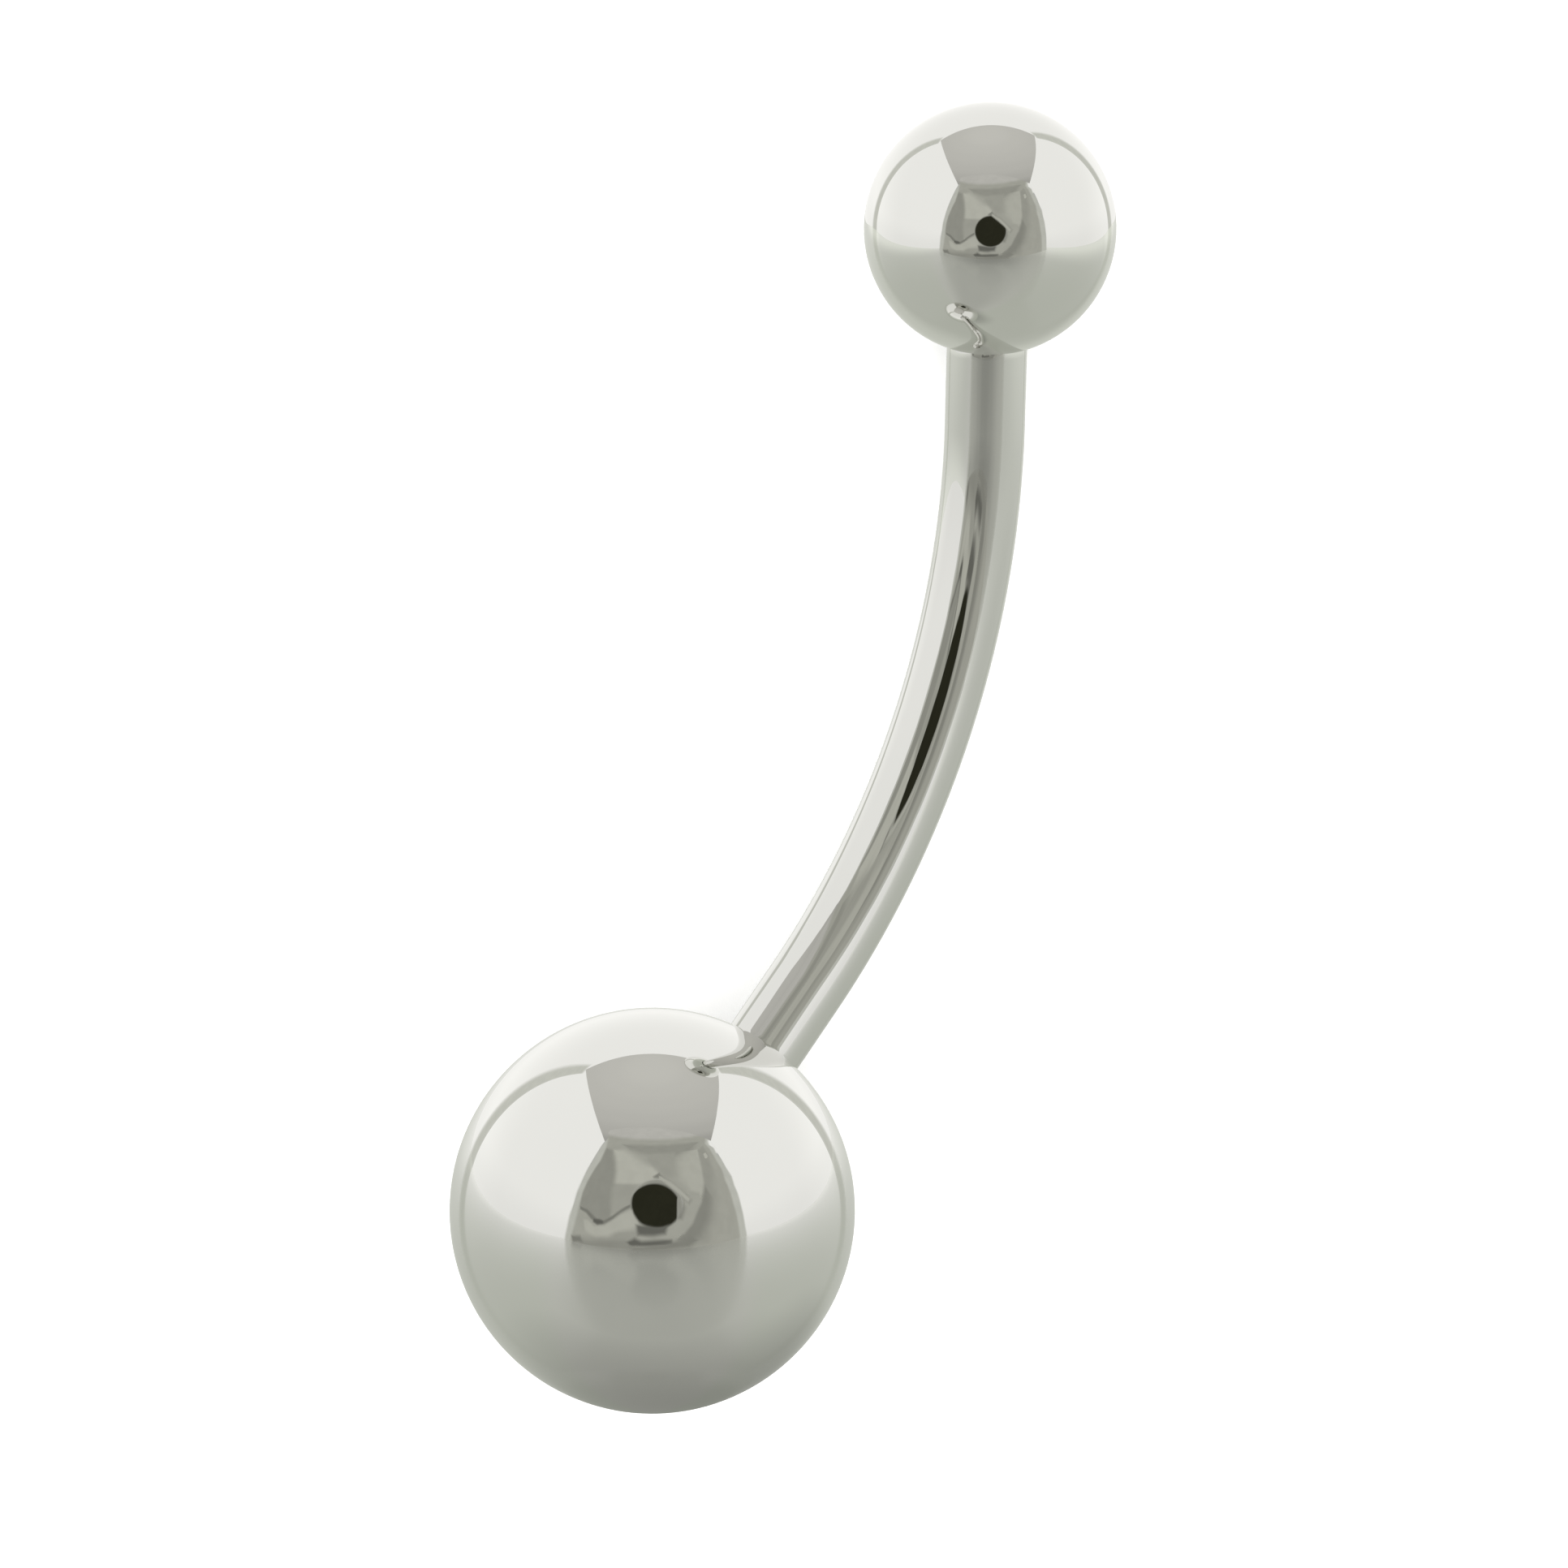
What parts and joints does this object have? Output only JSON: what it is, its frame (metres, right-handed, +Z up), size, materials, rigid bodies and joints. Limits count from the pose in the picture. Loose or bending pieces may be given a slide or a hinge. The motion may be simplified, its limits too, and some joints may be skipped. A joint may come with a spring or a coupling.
{
  "type": "navel ring",
  "caption": "Navel ring: curved barbell of polished steel with a small screw-on ball on its upper end and a large one on its lower end.",
  "frame": {"origin": "on the surface that the ring lies on, under the middle of its footprint", "axes": "+Z up from the surface that it lies on, +X from the large lower ball towards the small upper ball, and the bar bends towards -Y and down"},
  "size_m": [0.027, 0.008, 0.008],
  "materials": {
    "bar_steel": "polished",
    "ball_steel": "polished"
  },
  "bodies": {
    "bar": {"curved_bar": "bar_steel"},
    "top_ball": {"top_ball": "ball_steel"},
    "bottom_ball": {"bottom_ball": "ball_steel"}
  },
  "joints": [
    {"name": "top_ball_off", "type": "slide", "parent": "bar", "child": "top_ball", "axis": [0.9204, 0.2936, 0.2583], "range_m": [0, 0.005]},
    {"name": "bottom_ball_off", "type": "slide", "parent": "bar", "child": "bottom_ball", "axis": [-0.9004, 0.2568, 0.3511], "range_m": [0, 0.005]}
  ]
}
